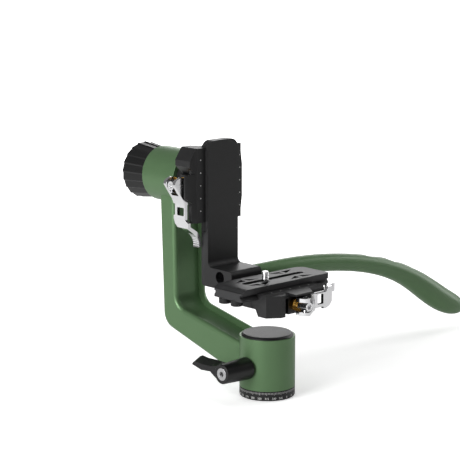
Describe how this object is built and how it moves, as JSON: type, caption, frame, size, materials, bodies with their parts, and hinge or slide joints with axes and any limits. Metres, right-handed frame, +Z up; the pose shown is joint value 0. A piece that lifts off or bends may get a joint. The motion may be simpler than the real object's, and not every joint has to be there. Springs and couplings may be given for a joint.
{
  "type": "gimbal tripod head",
  "caption": "Gimbal tripod head: side arm turning on a round base, tilting L-bracket with lever clamps, sliding camera plate and a long curved handle.",
  "frame": {"origin": "centre of the base's bottom face, at the mouth of its tripod thread, on the pan axis", "axes": "+Z up along the pan axis, +X from the arm towards the camera plate along the tilt axis, +Y towards the handle's end"},
  "size_m": [0.224, 0.3812, 0.2298],
  "materials": {
    "green_anodised": "satin green anodised",
    "green_grip": "satin green soft moulding",
    "black_anodised": "satin black anodised",
    "knob_black": "satin black ribbed moulding",
    "lock_black": "satin black moulding",
    "cap_grey": "smooth dark grey satin",
    "black_steel": "black oxide",
    "bright_steel": "ground bright",
    "chrome": "bright polished",
    "bronze": "satin bronze"
  },
  "bodies": {
    "base": {"pan_dial": "black_anodised", "pan_spindle": "bright_steel", "dial_screws": "bright_steel", "pan_nut": "bright_steel"},
    "arm": {"arm": "green_anodised", "pan_bearing_lower": "bright_steel", "pan_bearing_upper": "bright_steel", "top_cap": "black_anodised", "cap_disc": "cap_grey", "tilt_bearing_rear": "bright_steel", "tilt_bearing_front": "bright_steel", "thrust_washer": "bronze"},
    "pan_lock": {"pan_lock_handle": "lock_black", "pan_lock_screw": "bright_steel"},
    "pan_shoe": {"pan_brake_shoe": "bronze"},
    "tilt": {"tilt_shaft": "bright_steel", "tilt_flange": "black_anodised", "knob_screw": "black_steel", "flange_screws": "black_steel", "upright_clamp_body": "black_anodised", "upright_tension_rod": "chrome", "upright_pivot_pin": "chrome", "upright_guide_pins": "bright_steel", "upright_jaw_spring": "bright_steel"},
    "knob": {"tilt_knob": "knob_black"},
    "upright_lever": {"upright_lever": "chrome"},
    "upright_jaw": {"upright_clamp_jaw": "black_anodised", "upright_cam_washer": "bronze"},
    "cradle": {"l_bracket": "black_anodised", "socket_set_screws": "black_steel", "foot_screws": "black_steel", "platform_clamp_body": "black_anodised", "platform_tension_rod": "chrome", "platform_pivot_pin": "chrome", "platform_guide_pins": "bright_steel", "platform_jaw_spring": "bright_steel", "handle": "green_grip"},
    "platform_lever": {"platform_lever": "chrome"},
    "platform_jaw": {"platform_clamp_jaw": "black_anodised", "platform_cam_washer": "bronze"},
    "camera_plate": {"camera_plate": "black_anodised", "plate_stop_screws": "black_steel"},
    "screw_slider": {"screw_slider": "chrome"},
    "camera_screw": {"camera_screw": "chrome"}
  },
  "joints": [
    {"name": "pan_turn", "type": "hinge", "parent": "base", "child": "arm", "pos_m": [0, 0, 0.0284], "axis": [0, 0, 1], "continuous": true},
    {"name": "pan_lock_turn", "type": "hinge", "parent": "arm", "child": "pan_lock", "pos_m": [0, -0.04, 0.0292], "axis": [0, 1, 0], "range_deg": [-80, 60]},
    {"name": "pan_shoe_press", "type": "slide", "parent": "arm", "child": "pan_shoe", "axis": [0, 1, 0], "range_m": [-0.0003, 0.00026]},
    {"name": "tilt_swing", "type": "hinge", "parent": "arm", "child": "tilt", "pos_m": [-0.12, 0, 0.189], "axis": [1, 0, 0], "range_deg": [-30, 200]},
    {"name": "tilt_knob_turn", "type": "hinge", "parent": "tilt", "child": "knob", "pos_m": [-0.158, 0, 0.189], "axis": [1, 0, 0], "range_deg": [-90, 180]},
    {"name": "upright_lever_swing", "type": "hinge", "parent": "tilt", "child": "upright_lever", "pos_m": [-0.0753, -0.0453, 0.1905], "axis": [-1, 0, 0], "range_deg": [0, 110]},
    {"name": "upright_jaw_slide", "type": "slide", "parent": "tilt", "child": "upright_jaw", "axis": [0, -1, 0], "range_m": [0, 0.0025]},
    {"name": "height_slide", "type": "slide", "parent": "tilt", "child": "cradle", "axis": [0, 0, 1], "range_m": [-0.005, 0.005]},
    {"name": "platform_lever_swing", "type": "hinge", "parent": "cradle", "child": "platform_lever", "pos_m": [0.0453, 0.0031, 0.0902], "axis": [0, 0, -1], "range_deg": [0, 110]},
    {"name": "platform_jaw_slide", "type": "slide", "parent": "cradle", "child": "platform_jaw", "axis": [1, 0, 0], "range_m": [0, 0.0025]},
    {"name": "plate_slide", "type": "slide", "parent": "cradle", "child": "camera_plate", "axis": [0, 1, 0], "range_m": [-0.012, 0.01]},
    {"name": "camera_screw_slide", "type": "slide", "parent": "camera_plate", "child": "screw_slider", "axis": [0, 1, 0], "range_m": [-0.018, 0.038]},
    {"name": "camera_screw_turn", "type": "hinge", "parent": "screw_slider", "child": "camera_screw", "pos_m": [0, -0.003, 0.107], "axis": [0, 0, 1], "continuous": true}
  ],
  "couplings": [
    {"joint": "pan_shoe_press", "follows": "pan_lock_turn", "m_per_rad": 0.00019894},
    {"joint": "upright_jaw_slide", "follows": "upright_lever_swing", "m_per_rad": 0.0013022},
    {"joint": "platform_jaw_slide", "follows": "platform_lever_swing", "m_per_rad": 0.0013022}
  ]
}
